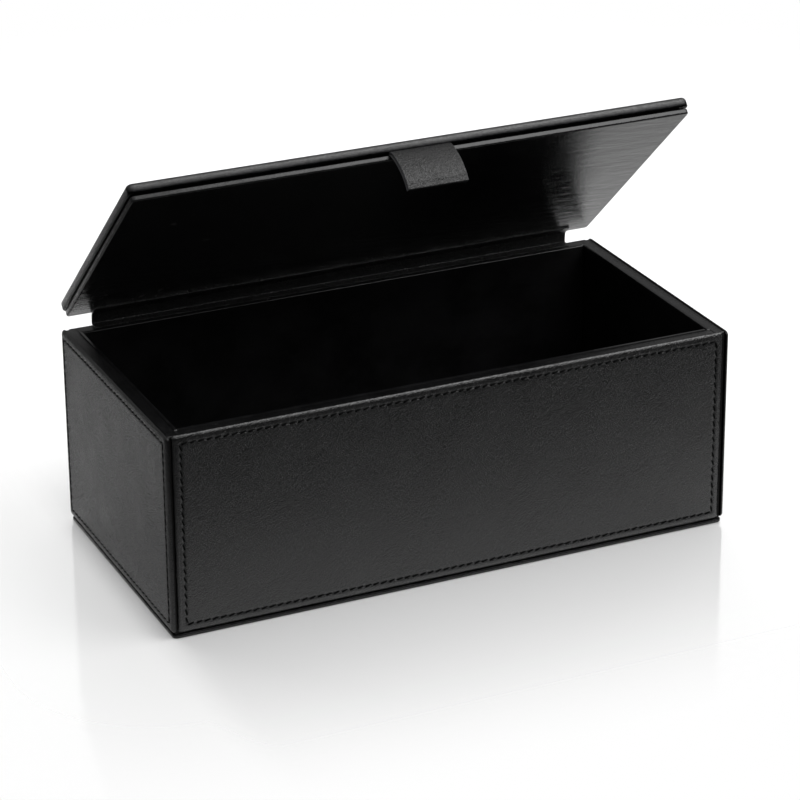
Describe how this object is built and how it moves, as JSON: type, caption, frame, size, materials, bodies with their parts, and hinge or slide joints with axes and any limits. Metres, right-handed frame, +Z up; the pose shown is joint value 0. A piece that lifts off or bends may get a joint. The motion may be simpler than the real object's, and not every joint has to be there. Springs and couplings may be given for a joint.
{
  "type": "card deck storage box",
  "caption": "Leather-covered rectangular storage box with stitched wall panels, a lined bay, a padded lid on a leather strip hinge and a curved leather pull tab.",
  "frame": {"origin": "centre of the base plate's underside, on the floor", "axes": "+X along the length of the box, -Y out of its front, +Z up; the lid hinges at the back and is stored open"},
  "size_m": [0.3002, 0.1536, 0.214],
  "materials": {
    "outer_leather": "smooth fine grain, soft sheen",
    "lining_leather": "soft pebbled grain, low sheen",
    "wall_board": "dense grey board, matt",
    "padding_foam": "thin felt padding, matt",
    "thread": "waxed thread, low sheen"
  },
  "bodies": {
    "box": {"base_cover": "outer_leather", "base_board": "wall_board", "front_board": "wall_board", "back_board": "wall_board", "left_board": "wall_board", "right_board": "wall_board", "front_cover": "outer_leather", "back_cover": "outer_leather", "left_cover": "outer_leather", "right_cover": "outer_leather", "front_thread": "thread", "back_thread": "thread", "left_thread": "thread", "right_thread": "thread", "front_rim": "outer_leather", "back_rim": "outer_leather", "left_rim": "outer_leather", "right_rim": "outer_leather", "floor_liner": "lining_leather", "front_liner": "lining_leather", "back_liner": "lining_leather", "left_liner": "lining_leather", "right_liner": "lining_leather", "hinge_strip": "outer_leather"},
    "lid": {"lid_cover": "outer_leather", "lid_thread": "thread", "lid_board": "wall_board", "lid_padding": "padding_foam", "lid_liner": "lining_leather", "lid_inner_board": "wall_board"},
    "tab": {"tab_outer": "outer_leather", "tab_inner": "lining_leather"}
  },
  "joints": [
    {"name": "lid_hinge", "type": "hinge", "parent": "box", "child": "lid", "pos_m": [0, 0.079, 0.1075], "axis": [-1, 0, 0], "range_deg": [-42.25, 57.75], "deforming": ["hinge_strip"]},
    {"name": "tab_flex", "type": "hinge", "parent": "lid", "child": "tab", "pos_m": [0, -0.0323, 0.2112], "axis": [-1, 0, 0], "range_deg": [-4, 35], "stiffness_Nm_per_rad": 0.05}
  ]
}
